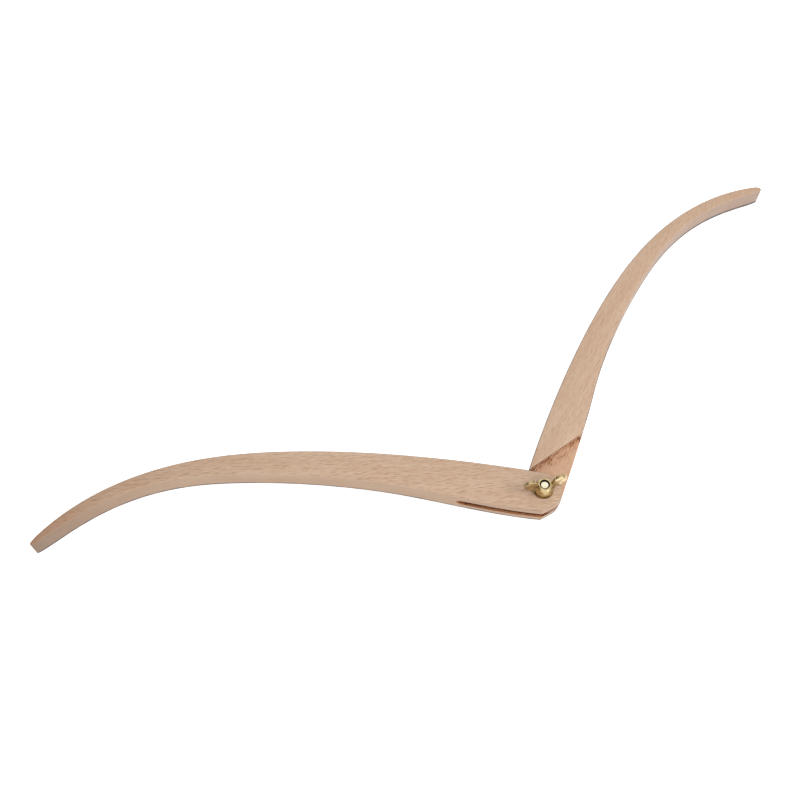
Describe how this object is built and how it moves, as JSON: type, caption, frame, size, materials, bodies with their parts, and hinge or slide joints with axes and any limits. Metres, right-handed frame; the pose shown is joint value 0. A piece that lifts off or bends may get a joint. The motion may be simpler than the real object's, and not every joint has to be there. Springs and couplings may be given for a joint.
{
  "type": "wooden outside caliper",
  "caption": "Wooden outside caliper: bowed legs joined by a slot and tongue, pivoting on a brass bolt and clamped by a wing nut over a washer.",
  "frame": {"origin": "on the pivot axis, at the flat spot in the middle of the bolt head's underside, the lowest point of the part", "axes": "+Z along the bolt, from its head to the wing nut; the forked leg reaches along -X with its bowed back towards +Y; the tongued leg stands wide open, 132.92 degrees from the forked leg"},
  "size_m": [0.5057, 0.2366, 0.0304],
  "materials": {
    "beech_fork": "satin oiled beech with short dark ray flecks",
    "beech_tongue": "satin oiled beech, rough sawn and redder on the tongue",
    "brass_bolt": "bright, slightly worn",
    "brass_washer": "dull, darkened by handling",
    "brass_nut": "polished, a little dulled"
  },
  "bodies": {
    "forked_leg": {"fork_leg": "beech_fork", "carriage_bolt": "brass_bolt"},
    "tongued_leg": {"tongue_leg": "beech_tongue"},
    "loose_washer": {"washer": "brass_washer"},
    "nut": {"wing_nut": "brass_nut"}
  },
  "joints": [
    {"name": "leg_pivot", "type": "hinge", "parent": "forked_leg", "child": "tongued_leg", "pos_m": [0, 0, 0], "axis": [0, 0, 1], "range_deg": [-227, 0]},
    {"name": "washer_lift", "type": "slide", "parent": "forked_leg", "child": "loose_washer", "axis": [0, 0, 1], "range_m": [0, 0.00481]},
    {"name": "wing_nut_turn", "type": "hinge", "parent": "loose_washer", "child": "nut", "pos_m": [0, 0, 0], "axis": [0, 0, 1], "range_deg": [0, 2160]}
  ],
  "couplings": [
    {"joint": "washer_lift", "follows": "wing_nut_turn", "m_per_rad": 0.00012732}
  ]
}
